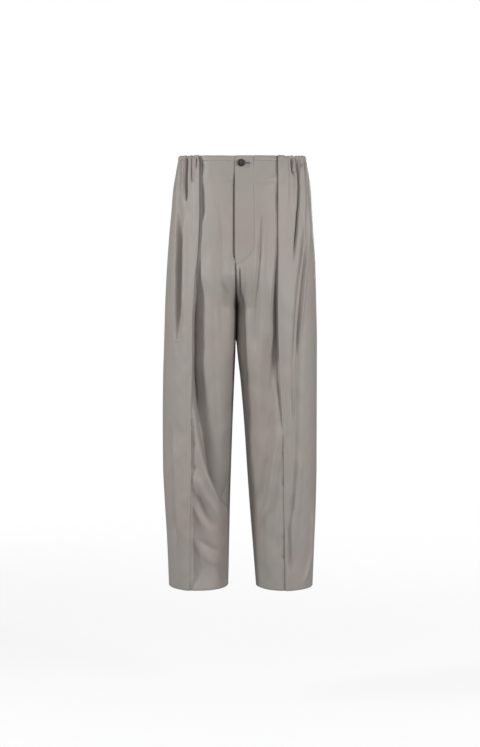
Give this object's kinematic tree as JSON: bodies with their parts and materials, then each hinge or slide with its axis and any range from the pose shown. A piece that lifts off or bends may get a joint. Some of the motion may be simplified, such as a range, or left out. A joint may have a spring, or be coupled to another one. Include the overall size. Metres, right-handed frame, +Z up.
{
  "type": "wide leg trousers",
  "caption": "Hollow worn pair of wide-leg trousers with a pleat over each long front seam, a gathered elastic waist at the sides and back, and a buttoned fly.",
  "frame": {"origin": "middle of the waist opening, at the height of the top edge over the side seams", "axes": "+Z up along the trousers, from the hems to the waist; -Y towards the front with the fly; +X towards the wearer's left leg"},
  "size_m": [0.3692, 0.2618, 1.032],
  "materials": {
    "satin_cloth": "soft satin, woven",
    "sewing_thread": "matte twisted thread",
    "dark_button": "satin, dark brown"
  },
  "bodies": {
    "root": {"front_panel_right": "satin_cloth", "front_panel_left": "satin_cloth", "front_band_right": "satin_cloth", "front_band_left": "satin_cloth", "side_panel_right": "satin_cloth", "side_panel_left": "satin_cloth", "back_panel_right": "satin_cloth", "back_panel_left": "satin_cloth", "side_casing_right": "satin_cloth", "side_casing_left": "satin_cloth", "back_casing_right": "satin_cloth", "back_casing_left": "satin_cloth", "fly_facing_left": "satin_cloth", "fly_shield_right": "satin_cloth", "buttonhole_stitching": "sewing_thread", "button": "dark_button", "button_shank": "sewing_thread"}
  },
  "joints": []
}
